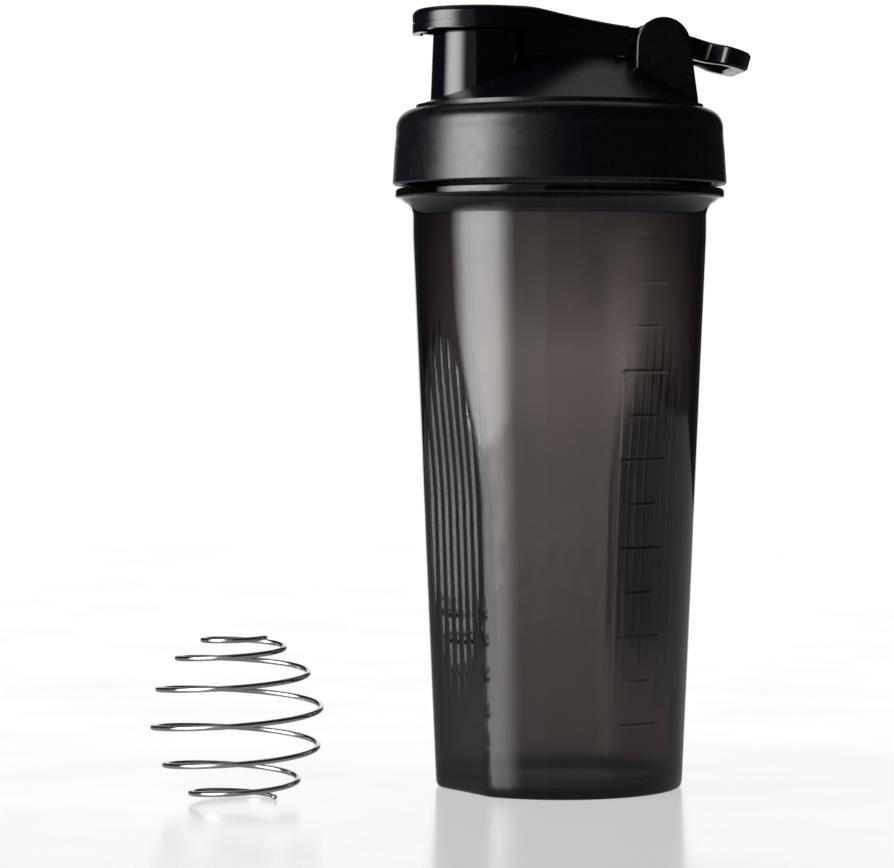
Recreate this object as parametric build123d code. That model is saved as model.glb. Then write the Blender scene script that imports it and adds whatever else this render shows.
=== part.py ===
from build123d import *
import os
from math import cos, pi, radians, sin, sqrt

# Protein shaker bottle, millimetres. Z is up, the bottle stands on z = 0 with its axis on the
# origin, the drinking spout is at -X and the cap hinge at +X.

# cup
BASE_R = 35.4
BODY_TOP_R = 42.2
BODY_TOP_Z = 158.0
WALL = 1.8
FLOOR_T = 2.5
BEAD_R, BEAD_Z, BEAD_TOP_Z = 47.3, 168.7, 171.5
NECK_R, NECK_BORE_R, RIM_Z = 43.6, 41.2, 188.0

# finger grips: a flat on the cone that runs up into a pointed arch
GRIP_AZIMUTHS = (206.5, 32.0)
GRIP_HALF_ANGLE = 22.0
GRIP_ARCH_Z, GRIP_TIP_Z, GRIP_RUN_OUT = 82.0, 143.0, 0.1
RIB_COUNT, RIB_PITCH, RIB_W, RIB_H = 7, 3.7, 1.6, 0.8
RIB_MID_Z, RIB_UP, RIB_DOWN = 86.0, 54.0, 60.0

# volume ticks
TICK_AZIMUTH, TICK_STEP, TICK_FIRST_Z, TICK_COUNT = 300.0, 12.4, 20.4, 12
TICK_H, TICK_OUT = 0.9, 0.4

# screw thread, right-hand, one start
LEAD = 6.0
THREAD_TURNS = 1.25
THREAD_FOOT, THREAD_TIP = 1.3, 0.6
CUP_THREAD_Z, CUP_THREAD_R = 176.5, 45.0
LID_THREAD_DROP, LID_THREAD_R = 2.05, 44.1

# lid
SKIRT_Z, SKIRT_R, SHOULDER_R, SHOULDER_Z = 172.6, 47.9, 46.9, 194.3
SHOULDER_FILLET = 5.8
LID_BORE_R, SEAL_POCKET_R, SEAL_POCKET_Z = 45.6, 44.2, 191.1
PLUG_RING_R, PLUG_RING_T, PLUG_RING_Z = 40.7, 1.7, 184.0
DOME_FOOT_R, DOME_FOOT_Z = 40.5, 195.4
DOME_TOP_R, DOME_TOP_X, DOME_TOP_Z = 13.8, 7.6, 208.7
LID_WALL = 2.2
WEB_HALF, WEB_TOP_Z, WEB_END_X = 2.0, 212.8, 16.2

# spout
SPOUT_X, SPOUT_TOP_R, SPOUT_FOOT_R, SPOUT_TOP_Z, SPOUT_BORE_R = -23.0, 13.3, 14.2, 217.9, 11.0

# hinge
PIVOT_X, PIVOT_Z = 28.1, 212.2
PIN_R, PIN_PLAY, PIN_HALF = 2.0, 0.05, 12.6
EAR_IN, EAR_OUT, EAR_R = 9.5, 14.0, 7.75
BARREL_HALF, BARREL_R = 4.4, 6.2
KNUCKLE_IN, KNUCKLE_OUT, KNUCKLE_R = 4.8, 9.1, 6.0

# flip cap: a drop-shaped shell over the spout that narrows to an arm with two side skirts
HEAD_R, HEAD_Z, HEAD_TOP_Z, HEAD_WALL, HEAD_ROOF = 19.3, 216.4, 222.6, 2.0, 2.4
HEAD_FLAT_X, HEAD_TURN = -12.0, 70.0
RIM_FILLET = 2.0
LINE_DROP, LINE_W, LINE_DEPTH = 4.4, 0.5, 0.4
LIP_HALF, LIP_DROP = 7.5, 0.8
ARM_HALF, ARM_Z, ARM_LEFT_X, ARM_WALL = 9.0, 209.1, -11.0, 1.8
ARM_NECK_X, ARM_BLOCK_X, ARM_END_X = 18.0, 17.0, 27.1
ARM_DROPS = ((-4.0, 1.0), (9.4, 3.4), (18.8, 4.8), (27.1, 5.2))
HUB_REACH = 9.0

# spout plug
PLUG_R, PLUG_END_R, PLUG_END_Z, PLUG_DISC_R = 10.2, 9.4, 212.9, 13.0
PLUG_GAP = 0.3
STUD_R, STUD_HEAD_R, STUD_Z, FIT = 3.0, 3.8, 215.9, 0.05

# carry loop
LOOP_LENGTH, LOOP_DROOP, LOOP_ROOT_T, LOOP_TIP_T, LOOP_HALF = 25.6, 15.5, 6.2, 5.0, 14.5
LOOP_RAISE = 1.8
LOOP_FLARE_X, LOOP_FLARE, LOOP_BAND = 13.5, 4.5, 4.2

# whisk ball, one wire wound up a sphere, with its closest turns at the top
BALL_X, BALL_Y, BALL_TURNS, WIRE_R = -93.5, -25.0, 6, 0.75
BALL_R, BALL_MID_Z, BALL_HALF, BALL_HEIGHT, BALL_EASE = 23.6, 22.6, 24.3, 46.3, 0.88


def cone_r(z):
    """Outer radius of the cup's body at height z."""
    return BASE_R + (BODY_TOP_R - BASE_R) * min(z, BODY_TOP_Z) / BODY_TOP_Z


def grip_depth_r(z):
    """Distance of a grip's flat from the bottle's axis at height z."""
    up = max(0.0, z - GRIP_ARCH_Z) / (GRIP_TIP_Z - GRIP_ARCH_Z)
    half_angle = GRIP_HALF_ANGLE * max(0.0, 1 - up**1.6)
    return cone_r(z) * cos(radians(half_angle)) + GRIP_RUN_OUT * up


def cylinder(radius, z0, z1, x=0.0):
    """Upright round bar from z0 to z1."""
    return Pos(x, 0, (z0 + z1) / 2) * Cylinder(radius, z1 - z0)


def across(radius, y0, y1):
    """Round bar along Y about the hinge's pivot."""
    return Pos(PIVOT_X, (y0 + y1) / 2, PIVOT_Z) * Rot(90, 0, 0) * Cylinder(radius, y1 - y0)


def turned(*points):
    """Solid turned about Z from a closed outline of (radius, z) points."""
    return revolve(make_face(Polyline(*[(r, 0, z) for r, z in points], close=True)), Axis.Z)


def side_plate(points, y0, y1):
    """Plate across Y from an outline of (x, z) points."""
    face = make_face(Polyline(*[(x, y0, z) for x, z in points], close=True))
    return extrude(face, amount=y1 - y0, dir=(0, 1, 0))


def thread(foot_r, tip_r, z):
    """Right-hand thread ridge between two radii whose middle starts at height z."""
    reach = foot_r + (0.4 if foot_r > tip_r else -0.4)
    lip = THREAD_FOOT + 0.4 * (THREAD_FOOT - THREAD_TIP) / abs(foot_r - tip_r)
    outline = [(reach, z - lip), (tip_r, z - THREAD_TIP), (tip_r, z + THREAD_TIP), (reach, z + lip)]
    face = make_face(Polyline(*[(r, 0, h) for r, h in outline], close=True))
    path = Helix(LEAD, LEAD * THREAD_TURNS, foot_r, center=(0, 0, z))
    return sweep(face, path=path, is_frenet=True)


def grip_tool(inset):
    """Block outside a grip's flat, set inwards by inset, for a grip that faces +X."""
    heights = [GRIP_ARCH_Z + i * (GRIP_TIP_Z - GRIP_ARCH_Z) / 7 for i in range(8)]
    curve = Spline(*[(grip_depth_r(z) - inset, 0, z) for z in heights])
    tip = grip_depth_r(GRIP_TIP_Z) - inset
    low = grip_depth_r(0) - inset - 5 * (BODY_TOP_R - BASE_R) / BODY_TOP_Z
    line = Polyline((tip, 0, GRIP_TIP_Z), (60, 0, GRIP_TIP_Z + 30), (60, 0, -5), (low, 0, -5),
                    (grip_depth_r(GRIP_ARCH_Z) - inset, 0, GRIP_ARCH_Z))
    return extrude(make_face(curve + line), amount=30, both=True)


def grip_rib(index):
    """One upright rib on a grip's flat, for a grip that faces +X."""
    offset = index - (RIB_COUNT - 1) / 2
    share = sqrt(1 - (offset / (RIB_COUNT / 2 + 0.3)) ** 2)
    z0, z1 = RIB_MID_Z - RIB_DOWN * share, RIB_MID_Z + RIB_UP * share
    heights = [z0 + 4 + i * (z1 - z0 - 8) / 9 for i in range(10)]
    crest = [(z0, -0.4), *[(z, RIB_H) for z in heights], (z1, -0.4)]
    back = [(z1, -1.0), (RIB_MID_Z, -1.0), (z0, -1.0)]
    outline = Polyline(*[(grip_depth_r(z) + out, 0, z) for z, out in crest + back], close=True)
    rib = extrude(make_face(outline), amount=RIB_W / 2, both=True)
    return Pos(0, offset * RIB_PITCH, 0) * rib


def volume_tick(index):
    """One raised tick of the volume scale, long for every second one."""
    z = TICK_FIRST_Z + index * TICK_STEP
    span = 20.0 if index % 2 == 0 else 11.0
    r = cone_r(z)
    outline = [(r - 0.5, z - TICK_H / 2), (r + TICK_OUT, z - TICK_H / 4),
               (r + TICK_OUT, z + TICK_H / 4), (r - 0.5, z + TICK_H / 2)]
    face = make_face(Polyline(*[(x, 0, h) for x, h in outline], close=True))
    return Rot(0, 0, TICK_AZIMUTH - span / 2) * revolve(face, Axis.Z, revolution_arc=span)


def make_cup():
    """Tapered cup with two grips, volume ticks, a bead and a threaded neck."""
    outer = turned((0, 0), (BASE_R - 1.2, 0), (BASE_R, 1.2), (BODY_TOP_R, BODY_TOP_Z),
                   (BODY_TOP_R, 164.8), (BODY_TOP_R + 1.6, 167.2), (BEAD_R - 0.6, BEAD_Z),
                   (BEAD_R, BEAD_Z + 0.6), (BEAD_R, BEAD_TOP_Z - 0.6), (BEAD_R - 0.6, BEAD_TOP_Z),
                   (NECK_R, BEAD_TOP_Z), (NECK_R, RIM_Z - 0.7), (NECK_R - 0.7, RIM_Z), (0, RIM_Z))
    inner = turned((0, FLOOR_T), (BASE_R - WALL - 5, FLOOR_T), (BASE_R - WALL - 1.4, FLOOR_T + 1.4),
                   (cone_r(7.5) - WALL, 7.5), (BODY_TOP_R - WALL, BODY_TOP_Z),
                   (BODY_TOP_R - WALL, 166.0), (NECK_BORE_R, 169.5),
                   (NECK_BORE_R, RIM_Z - 0.5), (NECK_BORE_R + 0.5, RIM_Z), (NECK_BORE_R + 0.5, RIM_Z + 5),
                   (0, RIM_Z + 5))
    for azimuth in GRIP_AZIMUTHS:
        outer -= Rot(0, 0, azimuth) * grip_tool(0)
        inner -= Rot(0, 0, azimuth) * grip_tool(WALL)
    groove = cylinder(31, -1, 0.8) - cylinder(28.5, -2, 2)
    cup = outer - inner - groove
    for azimuth in GRIP_AZIMUTHS:
        cup += [Rot(0, 0, azimuth) * grip_rib(i) for i in range(RIB_COUNT)]
    cup += [volume_tick(i) for i in range(TICK_COUNT)]
    return cup + thread(NECK_R, CUP_THREAD_R, CUP_THREAD_Z)


def frustum(r0, z0, r1, x1, z1):
    """Round frustum whose upper circle is off centre."""
    foot, top = Pos(0, 0, z0) * Circle(r0), Pos(x1, 0, z1) * Circle(r1)
    return loft([foot, top], ruled=True)


def ear(side):
    """One round-topped hinge post."""
    y0, y1 = (EAR_IN, EAR_OUT) if side > 0 else (-EAR_OUT, -EAR_IN)
    left, right = PIVOT_X - EAR_R, PIVOT_X + EAR_R
    foot = side_plate([(left, PIVOT_Z), (right, PIVOT_Z), (right + 2.1, 197), (right + 2.1, 194),
                       (left - 0.6, 194)], y0, y1)
    plate = foot + across(EAR_R, y0, y1)
    rim = [e for e in plate.edges() if e.center().Z > 199]
    return fillet(rim, 0.7) - across(PIN_R + PIN_PLAY, -PIN_HALF - 0.1, PIN_HALF + 0.1)


def make_lid():
    """Screw lid with its dome, drinking spout and hinge posts."""
    skirt = turned((0, SKIRT_Z), (SKIRT_R - 0.5, SKIRT_Z), (SKIRT_R, SKIRT_Z + 0.5), (47.4, 181.5),
                   (SHOULDER_R, 187), (SHOULDER_R - 0.1, SHOULDER_Z), (0, SHOULDER_Z))
    skirt = fillet(skirt.edges().filter_by(GeomType.CIRCLE).sort_by(Axis.Z)[-1], SHOULDER_FILLET - 0.2)
    skirt = skirt + cylinder(DOME_FOOT_R + 0.7, SHOULDER_Z - 1, DOME_FOOT_Z)
    dome = frustum(DOME_FOOT_R, DOME_FOOT_Z, DOME_TOP_R, DOME_TOP_X, DOME_TOP_Z)
    dome = fillet(dome.edges().sort_by(Axis.Z)[-1], 1.5)
    spout = Pos(SPOUT_X, 0, 0) * turned((0, 195), (SPOUT_FOOT_R, 195), (SPOUT_TOP_R, SPOUT_TOP_Z),
                                        (0, SPOUT_TOP_Z))
    web = side_plate([(SPOUT_X + 9, DOME_TOP_Z - 4), (WEB_END_X, DOME_TOP_Z - 4), (WEB_END_X, WEB_TOP_Z),
                      (SPOUT_X + 9, WEB_TOP_Z)], -WEB_HALF, WEB_HALF)
    body = skirt + dome + spout + web + ear(1) + ear(-1)
    bore = turned((0, 150), (LID_BORE_R + 0.6, 150), (LID_BORE_R + 0.6, SKIRT_Z), (LID_BORE_R, SKIRT_Z + 0.6),
                  (LID_BORE_R, 187.0), (SEAL_POCKET_R, 189.0), (SEAL_POCKET_R, SEAL_POCKET_Z),
                  (PLUG_RING_R, SEAL_POCKET_Z), (PLUG_RING_R, PLUG_RING_Z + 1),
                  (PLUG_RING_R - 0.8, PLUG_RING_Z), (PLUG_RING_R - PLUG_RING_T, PLUG_RING_Z),
                  (PLUG_RING_R - PLUG_RING_T, SHOULDER_Z - 1.5), (0, SHOULDER_Z - 1.5))
    slope_in = frustum(PLUG_RING_R - PLUG_RING_T - 0.7, SHOULDER_Z - 1.6, DOME_TOP_R - 1.4,
                       DOME_TOP_X, DOME_TOP_Z - LID_WALL)
    mouth = cylinder(SPOUT_BORE_R, 190, SPOUT_TOP_Z + 1, SPOUT_X)
    lid = body - bore - slope_in - mouth
    rim = [e for e in lid.edges().filter_by(GeomType.CIRCLE) if abs(e.center().Z - SPOUT_TOP_Z) < 0.01]
    lid = fillet(rim, 0.8)
    return lid + thread(LID_BORE_R, LID_THREAD_R, CUP_THREAD_Z - LID_THREAD_DROP)


def make_lid_seal():
    """Soft ring between the cup's rim and the lid, with one bead on its lower face."""
    z0, z1 = RIM_Z + 0.6, SEAL_POCKET_Z - 0.3
    r0, r1 = PLUG_RING_R + 0.3, SEAL_POCKET_R - 0.3
    middle = (r0 + r1) / 2
    return turned((r0, z0), (middle - 0.5, z0), (middle, z0 - 0.3), (middle + 0.5, z0), (r1, z0), (r1, z1),
                  (r0, z1))


def cap_plan(inset, z0, z1):
    """Drop-shaped block of the flip cap's outline, set inwards by inset."""
    r, half = HEAD_R - inset, ARM_HALF - inset
    turn = radians(HEAD_TURN)
    x, y = SPOUT_X + r * cos(turn), r * sin(turn)
    nose = ThreePointArc((x, y), (SPOUT_X - r, 0), (x, -y))
    flank = Spline((x, y), (ARM_NECK_X, half), tangents=[(sin(turn), -cos(turn)), (1, 0)])
    end = Polyline((ARM_NECK_X, half), (ARM_END_X, half), (ARM_END_X, -half), (ARM_NECK_X, -half))
    outline = make_face(nose + flank + mirror(flank, about=Plane.XZ) + end)
    return extrude(Pos(0, 0, z0) * outline, amount=z1 - z0)


def under_top(drop, z0):
    """Block below the flip cap's top line, lowered by drop."""
    top = HEAD_TOP_Z - drop
    slope = Spline((HEAD_FLAT_X, 0, top), *[(x, 0, top - fall) for x, fall in ARM_DROPS],
                   tangents=[(1, 0, 0), (1, 0, 0)])
    rest = Polyline((ARM_END_X, 0, top - ARM_DROPS[-1][1]), (ARM_END_X, 0, z0), (-60, 0, z0), (-60, 0, top),
                    (HEAD_FLAT_X, 0, top))
    return extrude(make_face(slope + rest), amount=30, both=True)


def make_flip_cap():
    """Lever with a drop-shaped head over the spout, a thumb lip, two skirts and a hinge barrel."""
    shell = cap_plan(0, ARM_Z, HEAD_TOP_Z + 1) & under_top(0, ARM_Z - 1)
    rim = [e for e in shell.edges() if e.center().Z > HEAD_Z + 0.5 and e.geom_type != GeomType.LINE
           and abs(e.tangent_at(0.5).Z) < 0.8]
    shell = fillet(rim, RIM_FILLET) & Pos(0, 0, HEAD_Z + 10) * Box(200, 200, 20)
    shell -= cap_plan(HEAD_WALL, HEAD_Z - 1, HEAD_TOP_Z) & under_top(HEAD_ROOF, HEAD_Z - 2)
    z = HEAD_TOP_Z - LINE_DROP
    groove = cylinder(HEAD_R + 1, z, z + LINE_W, SPOUT_X)
    groove -= cylinder(HEAD_R - LINE_DEPTH, z - 1, z + 1, SPOUT_X)
    groove &= Pos(SPOUT_X - 20, 0, z) * Box(40, 60, 4)
    lip = cylinder(HEAD_R, HEAD_Z - LIP_DROP, HEAD_Z + 1, SPOUT_X)
    lip -= cylinder(HEAD_R - HEAD_WALL, HEAD_Z - 5, HEAD_Z + 5, SPOUT_X)
    lip &= Pos(SPOUT_X - HEAD_R, 0, HEAD_Z) * Box(16, 2 * LIP_HALF, 6)
    skirts = Pos((ARM_LEFT_X + ARM_END_X) / 2, 0, HEAD_Z) * Box(ARM_END_X - ARM_LEFT_X, 2 * ARM_HALF, 40)
    skirts = skirts & under_top(HEAD_ROOF / 2, ARM_Z)
    inside = Pos((ARM_LEFT_X + ARM_BLOCK_X) / 2 - 1, 0, HEAD_Z) * Box(ARM_BLOCK_X - ARM_LEFT_X + 2,
                                                                      2 * (ARM_HALF - ARM_WALL), 60)
    skirts -= inside & under_top(HEAD_ROOF, ARM_Z - 5)
    stud = Pos(SPOUT_X, 0, 0) * turned((0, STUD_Z), (STUD_HEAD_R, STUD_Z), (STUD_HEAD_R, STUD_Z + 1),
                                       (STUD_R, STUD_Z + 1.8), (STUD_R, HEAD_TOP_Z - 2), (0, HEAD_TOP_Z - 2))
    cap = shell - groove + lip + skirts + stud
    for side in (-1, 1):
        cap -= Pos(PIVOT_X, side * (BARREL_HALF + 10), PIVOT_Z) * Box(2 * HUB_REACH, 20, 40)
    cap += across(BARREL_R, -BARREL_HALF, BARREL_HALF)
    return cap - across(PIN_R + PIN_PLAY, -20, 20)


def make_spout_plug():
    """Soft stopper that snaps over the cap's stud and closes the spout."""
    under, rest = HEAD_TOP_Z - HEAD_ROOF - FIT, SPOUT_TOP_Z + PLUG_GAP
    plug = turned((0, PLUG_END_Z), (PLUG_END_R - 0.6, PLUG_END_Z), (PLUG_END_R, PLUG_END_Z + 0.6),
                  (PLUG_R, rest), (PLUG_DISC_R, rest), (PLUG_DISC_R, under), (0, under))
    r0, r1, z = STUD_HEAD_R + FIT, STUD_R + FIT, STUD_Z + FIT
    socket = turned((0, STUD_Z - FIT), (r0, STUD_Z - FIT), (r0, z + 1), (r1, z + 1.8), (r1, under + 1),
                    (0, under + 1))
    return Pos(SPOUT_X, 0, 0) * (plug - socket)


def mirrored_outline(half, radii):
    """Face from the half outline above the X axis and a fillet radius for each of its corners."""
    points = half + [(x, -y) for x, y in reversed(half)]
    return make_face(FilletPolyline(*points, radius=radii + radii[::-1], close=True))


def make_carry_loop():
    """Flared ring behind the hinge, hung on two knuckles beside the cap's barrel."""
    flare, wide = LOOP_FLARE_X, LOOP_FLARE_X + LOOP_FLARE
    end, inner = LOOP_LENGTH - LOOP_BAND, LOOP_HALF - LOOP_BAND
    outline = mirrored_outline([(0, KNUCKLE_OUT), (flare, KNUCKLE_OUT), (wide, LOOP_HALF),
                                (LOOP_LENGTH, LOOP_HALF)], [0, 3, 3, 5])
    eye = mirrored_outline([(-1, KNUCKLE_IN), (flare, KNUCKLE_IN), (wide, inner), (end, inner)],
                           [0, 1.5, 1.5, 1.8])
    band = outline - eye
    body = extrude(band, amount=LOOP_ROOT_T / 2, both=True)
    root, tip, far = LOOP_ROOT_T / 2, LOOP_TIP_T / 2, LOOP_LENGTH + 1
    body = body & side_plate([(0, root), (8, root), (far, tip), (far, -tip), (8, -root), (0, -root)], -20, 20)
    outside = [e for e in body.edges() if e.center().X > LOOP_FLARE_X + 2 and abs(e.center().Z) > 1
               and abs(e.tangent_at(0.5).Z) < 0.5]
    body = chamfer(outside, 0.6)
    body = Pos(PIVOT_X, 0, PIVOT_Z) * Rot(0, LOOP_DROOP, 0) * Pos(0, 0, LOOP_RAISE) * body
    body += across(KNUCKLE_R, KNUCKLE_IN, KNUCKLE_OUT) + across(KNUCKLE_R, -KNUCKLE_OUT, -KNUCKLE_IN)
    return body - across(PIN_R + PIN_PLAY, -20, 20)


def make_hinge_pin():
    """Steel pin through both posts, the barrel and the knuckles."""
    pin = across(PIN_R, -PIN_HALF, PIN_HALF)
    return chamfer(pin.edges().filter_by(GeomType.CIRCLE), 0.4)


def wire_point(turn):
    """Middle of the whisk ball's wire after a number of turns."""
    s = (max(turn, 0.0) / BALL_TURNS) ** BALL_EASE
    z = WIRE_R + (BALL_HEIGHT - 2 * WIRE_R) * s * s * (3 - 2 * s)
    r = BALL_R * sqrt(1 - ((z - BALL_MID_Z) / BALL_HALF) ** 2)
    return Vector(BALL_X + r * cos(2 * pi * turn), BALL_Y + r * sin(2 * pi * turn), z)


def wire_slope(turn):
    """Rate at which the wire's middle moves with its turns."""
    step = 0.0001
    return (wire_point(turn + step) - wire_point(turn - step)) * (0.5 / step)


def wire_piece(start, span):
    """Stretch of the whisk ball's wire, ending square to the next one."""
    end = start + span
    path = Bezier(wire_point(start), wire_point(start) + wire_slope(start) * (span / 3),
                  wire_point(end) - wire_slope(end) * (span / 3), wire_point(end))
    section = Plane(origin=path @ 0, z_dir=path % 0) * Circle(WIRE_R)
    return sweep(section, path=path, is_frenet=True)


def make_whisk_ball():
    """Open ball wound from one steel wire."""
    span = 0.25
    ball = wire_piece(0, span)
    for i in range(1, int(BALL_TURNS / span)):
        ball += wire_piece(i * span, span)
    for turn in (0, BALL_TURNS):
        ball += Pos(wire_point(turn)) * Rot(25, 35, 0) * Sphere(WIRE_R)
    return ball


os.makedirs("parts", exist_ok=True)
for name, make in (("cup", make_cup), ("lid", make_lid), ("lid_seal", make_lid_seal),
                   ("flip_cap", make_flip_cap), ("spout_plug", make_spout_plug),
                   ("carry_loop", make_carry_loop), ("hinge_pin", make_hinge_pin),
                   ("whisk_ball", make_whisk_ball)):
    shape = make()
    solids = shape.solids()
    box = shape.bounding_box()
    print(name, "solids", len(solids), "volume", round(shape.volume), "box", box.min, box.max, flush=True)
    export_step(solids[0] if len(solids) == 1 else shape, f"parts/{name}.step")
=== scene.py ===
from math import cos, pi, radians, sin, sqrt

import bpy
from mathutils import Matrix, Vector


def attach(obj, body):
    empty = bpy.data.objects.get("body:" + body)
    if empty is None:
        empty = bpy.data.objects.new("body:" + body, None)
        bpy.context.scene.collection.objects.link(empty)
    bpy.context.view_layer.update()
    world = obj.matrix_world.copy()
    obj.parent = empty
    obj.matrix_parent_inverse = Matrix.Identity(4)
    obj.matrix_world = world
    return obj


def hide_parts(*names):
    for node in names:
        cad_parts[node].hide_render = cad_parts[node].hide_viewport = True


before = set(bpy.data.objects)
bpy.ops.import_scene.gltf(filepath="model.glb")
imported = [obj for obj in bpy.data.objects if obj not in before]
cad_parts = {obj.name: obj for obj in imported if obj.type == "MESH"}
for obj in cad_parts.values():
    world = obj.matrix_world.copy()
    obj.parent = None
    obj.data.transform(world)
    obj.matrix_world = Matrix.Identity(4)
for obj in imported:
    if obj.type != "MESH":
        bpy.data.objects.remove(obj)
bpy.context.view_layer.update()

MM = 0.001

# ---------------------------------------------------------------- sizes, millimetres
BASE_R, BODY_TOP_R, BODY_TOP_Z = 35.4, 42.2, 158.0
WALL, FLOOR_T = 1.8, 2.5
GROOVE_IN_R, GROOVE_OUT_R, GROOVE_H = 28.5, 31.0, 0.8
BASE_EDGE, FLOOR_CORNER = 1.5, 5.0
BEAD_R, BEAD_Z, BEAD_TOP_Z = 47.3, 168.7, 171.5
NECK_R, NECK_BORE_R, RIM_Z = 43.6, 41.2, 188.0

GRIP_AZIMUTHS = (206.5, 32.0)
GRIP_HALF_ANGLE, GRIP_ARCH_Z, GRIP_TIP_Z, GRIP_RUN_OUT = 22.0, 82.0, 143.0, 0.1
RIB_COUNT, RIB_PITCH, RIB_W, RIB_H = 7, 3.7, 3.1, 0.55
RIB_MID_Z, RIB_UP, RIB_DOWN = 86.0, 54.0, 60.0
# painted shade between the ribs, which leaves the rib crests as light lines: how much, where it fades out
# down and up, and the wall's depth it needs
GRIP_SHADE, SHADE_FOOT_Z, SHADE_TOP_Z, SHADE_DEPTH = 0.95, (22.0, 45.0), (105.0, 138.0), (-2.4, -1.4)

TICK_AZIMUTH, TICK_STEP, TICK_FIRST_Z, TICK_COUNT = 300.0, 12.4, 20.4, 12
TICK_H, TICK_OUT, TICK_LONG, TICK_SHORT = 0.9, 0.15, 10.0, 5.5

LEAD, THREAD_TURNS, THREAD_FOOT, THREAD_TIP = 6.0, 1.25, 1.3, 0.6
CUP_THREAD_Z, CUP_THREAD_R = 176.5, 45.0

SPOUT_X, SPOUT_R, SPOUT_FOOT_Z = -23.0, 14.25, 195.5

BALL_X, BALL_Y, BALL_TURNS, WIRE_R = -93.5, -25.0, 6, 0.75
BALL_R, BALL_MID_Z, BALL_HALF, BALL_HEIGHT, BALL_EASE = 23.6, 22.6, 24.3, 46.3, 0.88

CAMERA_AZIMUTH, CAMERA_DISTANCE, CAMERA_HEIGHT = 5.5, 1030.0, 130.0
CAMERA_LEFT, CAMERA_TILT, CAMERA_LENS = 32.25, 1.6, 144.3
TABLE_SIDE, TABLE_FRONT, TABLE_END = 1500.0, -1600.0, 1220.0
PAPER_SIDE, PAPER_AT, PAPER_FOOT, PAPER_TOP = 650.0, 2200.0, -300.0, 1000.0

# ---------------------------------------------------------------- light
# the dark room, and how straight ahead the white round it is seen through the cup
ROOM_LIGHT, WHITE_FROM, WHITE_FULL = 0.02, 0.90, 0.995
# the table's own glow, and the share of it that reflections see
FLOOR_GLOW, GLOW_REFLECTED = 0.51, 0.4
# spot and aim as (right, forward, up) and size in millimetres, power in watts, spread in degrees
SOFT_BOXES = {"left softbox": ((-820, -382, 330), (0, 0, 130), (1060, 1000), 7.6, 85),
              "front fill": ((-420, -900, 330), (0, 0, 120), (500, 1000), 0.4, 180),
              "top softbox": ((-100, 500, 1200), (0, 200, 0), (1200, 700), 0.85, 180)}
PLAIN_SHARE = 0.45

# ---------------------------------------------------------------- colours
SMOKE_DARK, SMOKE_LIGHT = (0.0, 0.0, 0.0), (0.58, 0.545, 0.53)
# darker towards the base, painted shade under the lid at the neck, and darker edge on
BASE_TONE, BASE_FADE_Z, NECK_SHADE, NECK_FADE_Z, EDGE_TONE = 0.62, (0.0, 120.0), 0.55, (125.0, 168.0), 0.22
SMOKE_INSIDE, SMOKE_DENSITY = (0.40, 0.36, 0.34, 1), 560
BLACK_LOW, BLACK_HIGH = (0.0006, 0.0009, 0.0022), (0.0011, 0.0016, 0.0034)
CAP_LOW, CAP_HIGH = (0.0008, 0.0010, 0.0022), (0.0014, 0.0018, 0.0034)
RUBBER_LOW, RUBBER_HIGH = (0.028, 0.028, 0.03), (0.045, 0.045, 0.048)
STEEL_LOW, STEEL_HIGH = (0.50, 0.50, 0.51), (0.66, 0.66, 0.67)
FLOOR_LOW, FLOOR_HIGH = (0.16, 0.162, 0.165), (0.18, 0.182, 0.185)
PAPER_LOW, PAPER_HIGH = (0.90, 0.90, 0.90), (0.93, 0.93, 0.93)


def cone_r(z):
    """Outer radius of the cup's body at a height."""
    return BASE_R + (BODY_TOP_R - BASE_R) * min(max(z, 0), BODY_TOP_Z) / BODY_TOP_Z


def grip_flat_r(z):
    """Distance of a grip's flat from the bottle's axis."""
    up = min(1.3, max(0.0, z - GRIP_ARCH_Z) / (GRIP_TIP_Z - GRIP_ARCH_Z))
    half = GRIP_HALF_ANGLE * max(0.0, 1 - up**1.6)
    return cone_r(z) * cos(radians(half)) + (GRIP_RUN_OUT * up if up <= 1 else GRIP_RUN_OUT + 6 * (up - 1))


# ---------------------------------------------------------------- node helpers
def material(name, **sockets):
    """New material with one Principled node, and its node tree and that node."""
    mat = bpy.data.materials.new(name)
    mat.use_nodes = True
    shader = mat.node_tree.nodes["Principled BSDF"]
    for key, value in sockets.items():
        shader.inputs[key.replace("_", " ")].default_value = value
    return mat, mat.node_tree, shader


def node(tree, kind, **settings):
    """New shader node with its settings and input values."""
    new = tree.nodes.new("ShaderNode" + kind)
    for key, value in settings.items():
        if key in new.inputs:
            new.inputs[key].default_value = value
        else:
            setattr(new, key, value)
    return new


def object_coords(tree):
    """Coordinates in metres that stay with the piece."""
    return node(tree, "TexCoord").outputs["Object"]


def parts_of(tree, vector):
    """Node with a vector's X, Y and Z as its outputs."""
    split = node(tree, "SeparateXYZ")
    tree.links.new(vector, split.inputs["Vector"])
    return split


def maths(tree, operation, *values):
    """Result of an operation on values, each of them a socket or a number."""
    step = node(tree, "Math", operation=operation)
    for socket, value in zip(step.inputs, values):
        if isinstance(value, (int, float)):
            socket.default_value = value
        else:
            tree.links.new(value, socket)
    return step.outputs[0]


def product(tree, first, *others):
    """Product of two or more values."""
    for other in others:
        first = maths(tree, "MULTIPLY", first, other)
    return first


def distance_along(tree, vector, direction):
    """Size of a vector along a direction."""
    along = node(tree, "VectorMath", operation="DOT_PRODUCT")
    tree.links.new(vector, along.inputs[0])
    along.inputs[1].default_value = direction
    return along.outputs["Value"]


def noise(tree, coords, scale, detail=3.0, roughness=0.55):
    """Noise of a given scale, as cells per metre."""
    tex = node(tree, "TexNoise", Scale=scale, Detail=detail, Roughness=roughness)
    tree.links.new(coords, tex.inputs["Vector"])
    return tex.outputs["Fac"]


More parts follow.
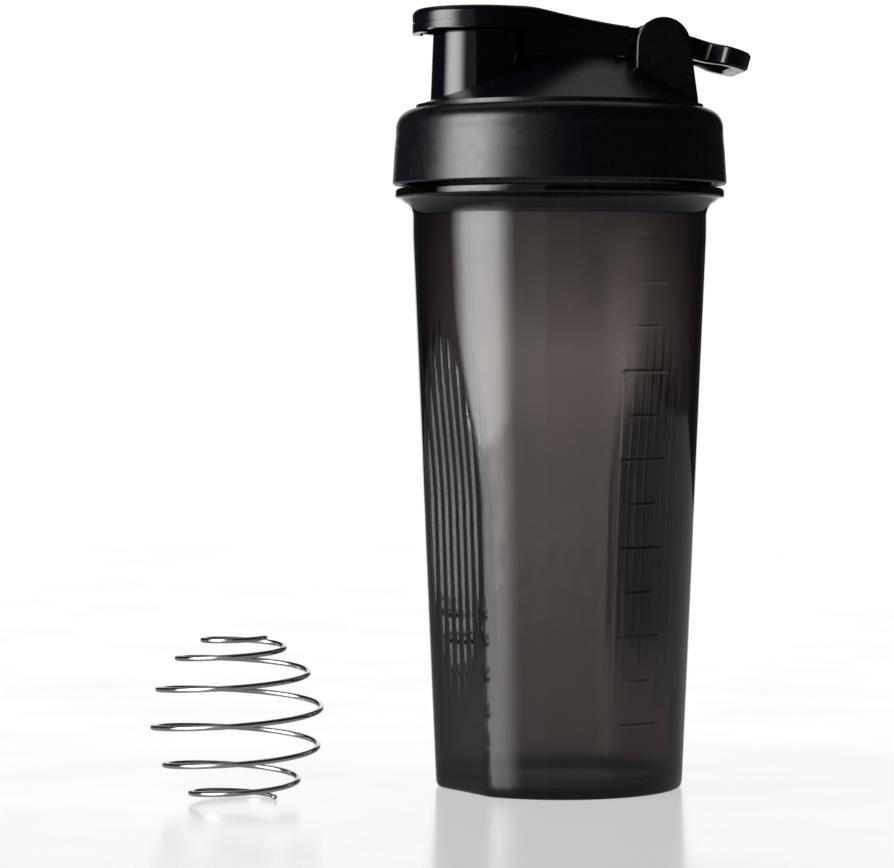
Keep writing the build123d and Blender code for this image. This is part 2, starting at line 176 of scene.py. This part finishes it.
def remap(tree, value, low, high, start=0.3, end=0.7):
    """Value between start and end, mapped to between low and high."""
    mapped = node(tree, "MapRange", **{"From Min": start, "From Max": end, "To Min": low, "To Max": high})
    tree.links.new(value, mapped.inputs["Value"])
    return mapped.outputs["Result"]


def bump(tree, shader, height, distance, strength=1.0, under=None):
    """Bump of a height in metres on the shader, over another bump if there is one."""
    relief = node(tree, "Bump", Strength=strength, Distance=distance)
    tree.links.new(height, relief.inputs["Height"])
    if under is not None:
        tree.links.new(under.outputs["Normal"], relief.inputs["Normal"])
    tree.links.new(relief.outputs["Normal"], shader.inputs["Normal"])
    return relief


def tint(tree, shader, value, dark, light):
    """Base colour that runs from dark to light with value."""
    ramp = node(tree, "ValToRGB")
    ramp.color_ramp.elements[0].color = (*dark, 1)
    ramp.color_ramp.elements[1].color = (*light, 1)
    tree.links.new(value, ramp.inputs["Fac"])
    tree.links.new(ramp.outputs["Color"], shader.inputs["Base Color"])


# ---------------------------------------------------------------- materials
def grip_shade(tree, coords, azimuth):
    """1, but darker between the ribs of a grip's flat: painted shade that leaves the rib crests as light
    lines.
    """
    side, height = radians(azimuth), parts_of(tree, coords).outputs["Z"]
    foot_r, arch_r, tip_r = (grip_flat_r(z) * MM for z in (0, GRIP_ARCH_Z, GRIP_TIP_Z))
    low = remap(tree, height, foot_r, arch_r, 0, GRIP_ARCH_Z * MM)
    high = remap(tree, height, 0, tip_r - arch_r, GRIP_ARCH_Z * MM, GRIP_TIP_Z * MM)
    out = distance_along(tree, coords, (cos(side), sin(side), 0))
    inset = maths(tree, "SUBTRACT", maths(tree, "SUBTRACT", out, low), high)
    flat = remap(tree, inset, 0, 1, *(depth * MM for depth in SHADE_DEPTH))
    above = remap(tree, height, 0, GRIP_SHADE, *(z * MM for z in SHADE_FOOT_Z))
    below = remap(tree, height, 1, 0, *(z * MM for z in SHADE_TOP_Z))
    turns = 2 * pi / (RIB_PITCH * MM)
    across = distance_along(tree, coords, (-sin(side) * turns, cos(side) * turns, 0))
    # painted shade in the gaps between the ribs
    gap = remap(tree, maths(tree, "COSINE", across), 1.0, 0.0, 0.6, 1.0)
    return maths(tree, "SUBTRACT", 1.0, product(tree, flat, above, below, gap))


def smoke_plastic():
    """Hazy smoke-grey plastic: darker edge on and towards the base, with painted shade under the lid at the
    neck and between the grip ribs.
    """
    mat, tree, shader = material("smoke plastic", IOR=1.49, Transmission_Weight=1.0)
    coords = object_coords(tree)
    height = parts_of(tree, coords).outputs["Z"]
    base = remap(tree, height, BASE_TONE, 1.0, *(z * MM for z in BASE_FADE_Z))
    # painted shade under the lid, over the cup's neck
    neck = remap(tree, height, 1.0, NECK_SHADE, *(z * MM for z in NECK_FADE_Z))
    facing = node(tree, "LayerWeight", Blend=0.5).outputs["Facing"]
    edge = remap(tree, facing, 1.0, EDGE_TONE, 0.12, 0.72)
    cloud = remap(tree, noise(tree, coords, 28, 2), 0.93, 1.0)
    grips = [grip_shade(tree, coords, azimuth) for azimuth in GRIP_AZIMUTHS]
    tint(tree, shader, product(tree, base, neck, edge, cloud, *grips), SMOKE_DARK, SMOKE_LIGHT)
    tree.links.new(remap(tree, noise(tree, coords, 90), 0.025, 0.04), shader.inputs["Roughness"])
    fine = bump(tree, shader, noise(tree, coords, 2600, 2), 0.00001, 0.15)
    bump(tree, shader, noise(tree, coords, 60, 2), 0.0001, 0.1, fine)
    smoke = node(tree, "VolumeAbsorption", Color=SMOKE_INSIDE, Density=SMOKE_DENSITY)
    tree.links.new(smoke.outputs["Volume"], tree.nodes["Material Output"].inputs["Volume"])
    return mat


def black_plastic():
    """Fine-textured satin black, glossy on the drinking spout."""
    mat, tree, shader = material("black plastic", IOR=1.5)
    coords = object_coords(tree)
    tint(tree, shader, noise(tree, coords, 45), BLACK_LOW, BLACK_HIGH)
    satin = remap(tree, noise(tree, coords, 400), 0.24, 0.31)
    gloss = remap(tree, noise(tree, coords, 300), 0.06, 0.10)
    mask = spout_mask(tree, coords)
    mix = node(tree, "Mix", data_type="FLOAT")
    tree.links.new(mask, mix.inputs[0])
    tree.links.new(satin, mix.inputs[2])
    tree.links.new(gloss, mix.inputs[3])
    tree.links.new(mix.outputs[0], shader.inputs["Roughness"])
    grain = product(tree, noise(tree, coords, 3200, 2), maths(tree, "SUBTRACT", 1.0, mask))
    fine = bump(tree, shader, grain, 0.00003, 0.5)
    speckle = remap(tree, noise(tree, coords, 1100, 1), 0, 1, 0.55, 0.75)
    bump(tree, shader, speckle, 0.00002, 0.18, fine)
    return mat


def spout_mask(tree, coords):
    """1 on the drinking spout's tower and 0 elsewhere on the lid."""
    split = parts_of(tree, coords)
    plane = node(tree, "CombineXYZ")
    tree.links.new(maths(tree, "SUBTRACT", split.outputs["X"], SPOUT_X * MM), plane.inputs["X"])
    tree.links.new(split.outputs["Y"], plane.inputs["Y"])
    length = node(tree, "VectorMath", operation="LENGTH")
    tree.links.new(plane.outputs[0], length.inputs[0])
    near = remap(tree, length.outputs["Value"], 1, 0, SPOUT_R * MM, (SPOUT_R + 0.25) * MM)
    high = remap(tree, split.outputs["Z"], 0, 1, SPOUT_FOOT_Z * MM, (SPOUT_FOOT_Z + 0.5) * MM)
    return product(tree, near, high)


def cap_plastic():
    """Glossier black of the flip cap and the carry loop, with faint handling marks."""
    mat, tree, shader = material("cap plastic", IOR=1.5)
    coords = object_coords(tree)
    tint(tree, shader, noise(tree, coords, 60), CAP_LOW, CAP_HIGH)
    tree.links.new(remap(tree, noise(tree, coords, 220, 6), 0.14, 0.22), shader.inputs["Roughness"])
    bump(tree, shader, noise(tree, coords, 130, 2), 0.00004, 0.15)
    return mat


def seal_rubber():
    """Soft matt black silicone."""
    mat, tree, shader = material("seal rubber", IOR=1.42)
    coords = object_coords(tree)
    tint(tree, shader, noise(tree, coords, 120), RUBBER_LOW, RUBBER_HIGH)
    tree.links.new(remap(tree, noise(tree, coords, 700), 0.55, 0.75), shader.inputs["Roughness"])
    bump(tree, shader, noise(tree, coords, 3000), 0.00002, 0.5)
    return mat


def steel(name, low, high, grain):
    """Bright steel with fine drawing marks and a little variation in its shine."""
    mat, tree, shader = material(name, Metallic=1.0)
    coords = object_coords(tree)
    tint(tree, shader, noise(tree, coords, 90), STEEL_LOW, STEEL_HIGH)
    tree.links.new(remap(tree, noise(tree, coords, grain, 4), low, high), shader.inputs["Roughness"])
    bump(tree, shader, noise(tree, coords, 4000, 2), 0.000006, 0.4)
    return mat


def floor_material():
    """Pale satin table top with a faint glow of its own."""
    mat, tree, shader = material("pale floor", IOR=1.45)
    coords = object_coords(tree)
    tint(tree, shader, noise(tree, coords, 3), FLOOR_LOW, FLOOR_HIGH)
    tree.links.new(remap(tree, noise(tree, coords, 12), 0.16, 0.22), shader.inputs["Roughness"])
    shader.inputs["Specular IOR Level"].default_value = 0.23
    shader.inputs["Emission Color"].default_value = (0.98, 0.99, 1, 1)
    reflections = node(tree, "LightPath").outputs["Glossy Depth"]
    glow = remap(tree, reflections, FLOOR_GLOW, GLOW_REFLECTED * FLOOR_GLOW, 0.4, 0.6)
    tree.links.new(glow, shader.inputs["Emission Strength"])
    return mat


def backdrop_material():
    """White paper lit from behind."""
    mat, tree, shader = material("backdrop", Roughness=0.9)
    tint(tree, shader, noise(tree, object_coords(tree), 2), PAPER_LOW, PAPER_HIGH)
    shader.inputs["Emission Color"].default_value = (1, 1, 1, 1)
    shader.inputs["Emission Strength"].default_value = 1.0
    return mat


# ---------------------------------------------------------------- mesh helpers
def add_mesh(name, verts, faces, mat, angle=32):
    """Object from points in millimetres, smooth but for edges sharper than angle."""
    mesh = bpy.data.meshes.new(name)
    mesh.from_pydata([tuple(c * MM for c in v) for v in verts], [], faces)
    mesh.validate()
    mesh.shade_smooth()
    mesh.set_sharp_from_angle(angle=radians(angle))
    obj = bpy.data.objects.new(name, mesh)
    bpy.context.scene.collection.objects.link(obj)
    obj.data.materials.append(mat)
    return obj


def piece(obj, body, slot, *replaced):
    """obj rides on a body and stands for CAD nodes. The slot is not used."""
    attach(obj, body)
    if replaced:
        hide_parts(*replaced)
    return obj


def arc(cx, cz, r, start, end, steps=6):
    """Points (r, z) on an arc, its angles in degrees from the outward direction."""
    turns = [radians(start + (end - start) * i / steps) for i in range(steps + 1)]
    return [(cx + r * cos(a), cz + r * sin(a)) for a in turns]


def skin(rings):
    """Points and faces of a closed skin through rings of equal length, capped at both ends."""
    n = len(rings[0])
    verts = [p for ring in rings for p in ring]
    faces = []
    for k in range(len(rings) - 1):
        for i in range(n):
            j = (i + 1) % n
            faces.append((k * n + i, k * n + j, (k + 1) * n + j, (k + 1) * n + i))
    for k, flip in ((0, True), (len(rings) - 1, False)):
        centre = [sum(p[a] for p in rings[k]) / n for a in range(3)]
        verts.append(tuple(centre))
        hub = len(verts) - 1
        for i in range(n):
            j = (i + 1) % n
            a, b = k * n + i, k * n + j
            faces.append((b, a, hub) if flip else (a, b, hub))
    return verts, faces


# ---------------------------------------------------------------- cup
def soft_min(a, b, width):
    """The smaller of two sizes, rounded over where they meet."""
    share = max(0.0, width - abs(a - b)) / width
    return min(a, b) - share * share * width / 4


def turn_from(azimuth, theta):
    """Angle from an azimuth to theta in degrees, between -180 and 180."""
    return (theta - azimuth + 180) % 360 - 180


def rib_height(u, z):
    """How far the ribs stand out of a grip's flat, u millimetres from its middle line."""
    index = round(u / RIB_PITCH)
    if abs(index) > (RIB_COUNT - 1) / 2:
        return 0.0
    share = sqrt(1 - (index / (RIB_COUNT / 2 + 0.3)) ** 2)
    reach = (RIB_UP if z > RIB_MID_Z else RIB_DOWN) * share
    along = abs(z - RIB_MID_Z) / reach
    if along >= 1:
        return 0.0
    swell = (1 - along**3) ** 0.7
    across = abs(u - index * RIB_PITCH) / (RIB_W / 2 * (0.35 + 0.65 * swell))
    return RIB_H * swell * (0.5 + 0.5 * cos(pi * across)) if across < 1 else 0.0


def tick_height(theta, z):
    """How far the volume ticks stand out of the wall."""
    index = round((z - TICK_FIRST_Z) / TICK_STEP)
    if not 0 <= index < TICK_COUNT:
        return 0.0
    half = TICK_LONG if index % 2 == 0 else TICK_SHORT
    off = abs(turn_from(TICK_AZIMUTH, theta))
    dz = abs(z - TICK_FIRST_Z - index * TICK_STEP) / (TICK_H / 2)
    if off > half + 0.35 or dz > 1.25:
        return 0.0
    return TICK_OUT * min(1, (half + 0.35 - off) / 0.35) * min(1, (1.25 - dz) / 0.5)


def wall_r(theta, z, inside):
    """Radius of the cup's wall at an angle in degrees and a height."""
    step = WALL if inside else 0.0
    r = cone_r(z) - step
    for azimuth in GRIP_AZIMUTHS:
        off = turn_from(azimuth, theta)
        if abs(off) < 60 and z < GRIP_TIP_Z + 12:
            flat = (grip_flat_r(z) - step) / cos(radians(off))
            if not inside and flat < r:
                flat += rib_height(flat * sin(radians(off)), z)
            r = soft_min(r, flat, 0.9)
    return r if inside else r + tick_height(theta, z)


def cup_angles():
    """Angles of the cup's columns, close together over the ribs and the ends of the ticks."""
    angles, theta = [], 0.0
    while theta < 359.99:
        angles.append(theta)
        in_grip = any(abs(turn_from(a, theta + 0.2)) < 25 for a in GRIP_AZIMUTHS)
        off = abs(turn_from(TICK_AZIMUTH, theta + 0.2))
        near_end = any(abs(off - end - 0.2) < 1.0 for end in (TICK_SHORT, TICK_LONG))
        theta += 0.4 if in_grip or near_end else 2.0
    return angles


def cup_heights():
    """Heights of the wall's rows, close together at the ticks."""
    rows = {1.6 + 2.0 * i for i in range(78)}
    for i in range(TICK_COUNT):
        middle = TICK_FIRST_Z + i * TICK_STEP
        rows |= {middle + side * dz for side in (-1, 1) for dz in (0.1, 0.36, 0.57, 0.7)}
    rows = sorted(z for z in rows if z < 157)
    return [z for i, z in enumerate(rows) if i == 0 or z - rows[i - 1] > 0.12]


def make_cup(mat):
    """The cup as one skin, from under its base, up the outside, over the rim and down inside."""
    angles = cup_angles()

    def ring(z, radius):
        return [(radius(a) * cos(radians(a)), radius(a) * sin(radians(a)), z) for a in angles]

    def round_ring(r, z):
        return ring(z, lambda a: r)

    edge, corner = BASE_EDGE, FLOOR_CORNER
    rings = [round_ring(8, 0), round_ring(GROOVE_IN_R - 0.1, 0), round_ring(GROOVE_IN_R + 0.1, GROOVE_H),
             round_ring(GROOVE_OUT_R - 0.1, GROOVE_H), round_ring(GROOVE_OUT_R + 0.1, 0)]
    for i in range(6):
        a = pi / 2 * i / 5
        rings.append(ring(edge * (1 - cos(a)), lambda t: wall_r(t, 0, False) - edge * (1 - sin(a))))
    rings += [ring(z, lambda t, z=z: wall_r(t, z, False)) for z in cup_heights() if z > edge]
    collar = [(BODY_TOP_R, 158.5), (BODY_TOP_R, 163.6), (BODY_TOP_R + 0.1, 164.6),
              (BODY_TOP_R + 0.5, 165.8), (BODY_TOP_R + 1.4, 167.0), (BODY_TOP_R + 2.8, 167.9),
              (BEAD_R - 1.6, BEAD_Z - 0.15)]
    collar += arc(BEAD_R - 0.8, BEAD_Z + 0.8, 0.8, -80, 0) + arc(BEAD_R - 0.8, BEAD_TOP_Z - 0.8, 0.8, 0, 88)
    collar += [(NECK_R + 0.5, BEAD_TOP_Z), (NECK_R + 0.15, BEAD_TOP_Z + 0.15), (NECK_R, BEAD_TOP_Z + 0.5),
               (NECK_R, 180)]
    collar += arc(NECK_R - 0.8, RIM_Z - 0.8, 0.8, 0, 90) + arc(NECK_BORE_R + 0.6, RIM_Z - 0.6, 0.6, 90, 180)
    collar += [(NECK_BORE_R, 176), (NECK_BORE_R, 170.2), (NECK_BORE_R - 0.15, 169), (40.7, 167.4),
               (BODY_TOP_R - WALL, 165.8), (BODY_TOP_R - WALL, 158.5)]
    rings += [round_ring(r, z) for r, z in collar]
    inner = [150 - 4 * i for i in range(36)]
    rings += [ring(z, lambda t, z=z: wall_r(t, z, True)) for z in inner if z > FLOOR_T + 5]
    for i in range(7):
        a = pi / 2 * i / 6
        rings.append(ring(FLOOR_T + corner * (1 - sin(a)),
                          lambda t: wall_r(t, FLOOR_T + corner, True) - corner * (1 - cos(a))))
    rings += [round_ring(20, FLOOR_T), round_ring(4, FLOOR_T)]
    return add_mesh("cup_shell", *skin(rings), mat, angle=50)


def helix_ridge(name, foot_r, tip_r, z, mat):
    """Thread ridge that rises out of its wall and sinks back into it at its ends."""
    rings, steps, run_in = [], 150, 0.07
    for i in range(steps + 1):
        turn = THREAD_TURNS * i / steps
        rise = min(1.0, turn / run_in, (THREAD_TURNS - turn) / run_in)
        tip = foot_r + (tip_r - foot_r) * (0.02 + 0.98 * sqrt(max(0.0, rise)))
        back = foot_r - 0.3 if tip_r > foot_r else foot_r + 0.3
        height = z + LEAD * turn
        outline = [(back, -THREAD_FOOT - 0.15), (foot_r, -THREAD_FOOT),
                   (tip, -THREAD_TIP - 0.15), (tip, THREAD_TIP + 0.15),
                   (foot_r, THREAD_FOOT), (back, THREAD_FOOT + 0.15)]
        a = 2 * pi * turn
        rings.append([(r * cos(a), r * sin(a), height + dz) for r, dz in outline])
    return add_mesh(name, *skin(rings), mat, angle=40)


# ---------------------------------------------------------------- whisk ball
def wire_point(turn):
    """Middle of the ball's wire after a number of turns."""
    s = (turn / BALL_TURNS) ** BALL_EASE
    z = WIRE_R + (BALL_HEIGHT - 2 * WIRE_R) * s * s * (3 - 2 * s)
    r = BALL_R * sqrt(1 - ((z - BALL_MID_Z) / BALL_HALF) ** 2)
    return Vector((BALL_X + r * cos(2 * pi * turn), BALL_Y + r * sin(2 * pi * turn), z))


def make_whisk_ball(mat):
    """The ball's wire as one tube with round ends."""
    per_turn, sides = 72, 14
    count = per_turn * BALL_TURNS
    path = [(BALL_TURNS * i / count, 1.0, 0.0) for i in range(count + 1)]
    caps = [(cos(radians(a)), sin(radians(a))) for a in (18, 36, 54, 70, 84)]
    path = [(0.0, c, -s) for c, s in reversed(caps)] + path + [(float(BALL_TURNS), c, s) for c, s in caps]
    spokes = [(cos(2 * pi * k / sides), sin(2 * pi * k / sides)) for k in range(sides)]
    rings = []
    for turn, width, shift in path:
        tangent = (wire_point(min(turn + 0.002, BALL_TURNS)) - wire_point(max(turn - 0.002, 0))).normalized()
        side = tangent.cross(Vector((0, 0, 1))).normalized()
        up = side.cross(tangent)
        middle = wire_point(turn) + tangent * shift * WIRE_R
        rings.append([tuple(middle + WIRE_R * width * (side * c + up * s)) for c, s in spokes])
    return add_mesh("ball_wire", *skin(rings), mat, angle=60)


# ---------------------------------------------------------------- surroundings
def view_frame():
    """Forward and right directions of the camera, level with the floor."""
    a = radians(CAMERA_AZIMUTH)
    forward = Vector((sin(a), cos(a), 0))
    return forward, Vector((cos(a), -sin(a), 0))


def place(right, forward, up):
    """Point in metres from millimetres to the right of, behind and above the bottle's foot."""
    f, r = view_frame()
    return (r * right + f * forward + Vector((0, 0, up))) * MM


def stage_quad(name, corners, mat):
    """Flat stage piece through four (right, forward, up) corners."""
    mesh = bpy.data.meshes.new(name)
    mesh.from_pydata([tuple(place(*c)) for c in corners], [], [(0, 1, 2, 3)])
    obj = bpy.data.objects.new(name, mesh)
    bpy.context.scene.collection.objects.link(obj)
    obj.data.materials.append(mat)


def area_light(name, spot, aim, size, power, spread):
    """Soft box at a spot, facing an aim point, both (right, forward, up) in millimetres."""
    light = bpy.data.lights.new(name, "AREA")
    light.shape = "RECTANGLE"
    light.size, light.size_y = size[0] * MM, size[1] * MM
    light.energy, light.spread = power, radians(spread)
    obj = bpy.data.objects.new(name, light)
    bpy.context.scene.collection.objects.link(obj)
    obj.location = place(*spot)
    obj.rotation_euler = (place(*aim) - obj.location).to_track_quat("-Z", "Y").to_euler()
    return light


def soft_edges(light):
    """Fade a soft box out towards its sides, outside the plain middle share of its width."""
    light.use_nodes = True
    tree = light.node_tree
    split = parts_of(tree, node(tree, "NewGeometry").outputs["Parametric"])
    off = maths(tree, "ABSOLUTE", maths(tree, "SUBTRACT", split.outputs["X"], 0.5))
    tree.links.new(remap(tree, off, 1, 0, PLAIN_SHARE / 2, 0.5), tree.nodes["Emission"].inputs["Strength"])


def make_camera():
    """Camera at the photograph's viewing angle."""
    camera = bpy.data.cameras.new("camera")
    camera.lens, camera.sensor_width = CAMERA_LENS, 36.0
    camera.clip_start, camera.clip_end = 0.05, 20.0
    obj = bpy.data.objects.new("camera", camera)
    bpy.context.scene.collection.objects.link(obj)
    obj.location = place(-CAMERA_LEFT, -CAMERA_DISTANCE, CAMERA_HEIGHT)
    forward = view_frame()[0] * cos(radians(CAMERA_TILT)) - Vector((0, 0, sin(radians(CAMERA_TILT))))
    obj.rotation_euler = forward.to_track_quat("-Z", "Y").to_euler()
    bpy.context.scene.camera = obj


def make_world():
    """White seen straight or through the cup before or behind the bottle, and a dark room elsewhere."""
    world = bpy.data.worlds.new("studio")
    world.use_nodes = True
    tree = world.node_tree
    rays = node(tree, "LightPath").outputs
    toward = distance_along(tree, node(tree, "TexCoord").outputs["Generated"], view_frame()[0])
    white = remap(tree, maths(tree, "ABSOLUTE", toward), ROOM_LIGHT, 1, WHITE_FROM, WHITE_FULL)
    through = product(tree, rays["Is Transmission Ray"], white)
    seen = maths(tree, "MAXIMUM", rays["Is Camera Ray"], through)
    level = maths(tree, "MAXIMUM", seen, ROOM_LIGHT)
    background = tree.nodes["Background"]
    background.inputs["Color"].default_value = (1, 1, 1, 1)
    tree.links.new(level, background.inputs["Strength"])
    bpy.context.scene.world = world


# ---------------------------------------------------------------- build
smoke, black, cap = smoke_plastic(), black_plastic(), cap_plastic()
rubber = seal_rubber()
pin_steel, ball_steel = steel("pin steel", 0.25, 0.4, 900), steel("ball steel", 0.12, 0.22, 300)

for name, mat in (("lid", black), ("lid_seal", rubber), ("flip_cap", cap), ("spout_plug", rubber),
                  ("carry_loop", cap), ("hinge_pin", pin_steel)):
    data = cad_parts[name].data
    data.materials.clear()
    data.materials.append(mat)

piece(make_cup(smoke), "cup", "smoke_plastic", "cup")
piece(helix_ridge("cup_thread", NECK_R, CUP_THREAD_R, CUP_THREAD_Z, smoke), "cup", "smoke_plastic")
piece(make_whisk_ball(ball_steel), "whisk_ball", "ball_steel", "whisk_ball")

stage_quad("floor", [(-TABLE_SIDE, TABLE_FRONT, 0), (TABLE_SIDE, TABLE_FRONT, 0),
                     (TABLE_SIDE, TABLE_END, 0), (-TABLE_SIDE, TABLE_END, 0)], floor_material())
stage_quad("backdrop", [(-PAPER_SIDE, PAPER_AT, PAPER_FOOT), (PAPER_SIDE, PAPER_AT, PAPER_FOOT),
                        (PAPER_SIDE, PAPER_AT, PAPER_TOP), (-PAPER_SIDE, PAPER_AT, PAPER_TOP)],
           backdrop_material())

lights = {name: area_light(name, *setup) for name, setup in SOFT_BOXES.items()}
soft_edges(lights["left softbox"])
make_world()
make_camera()
bpy.context.scene.view_settings.view_transform = "Standard"
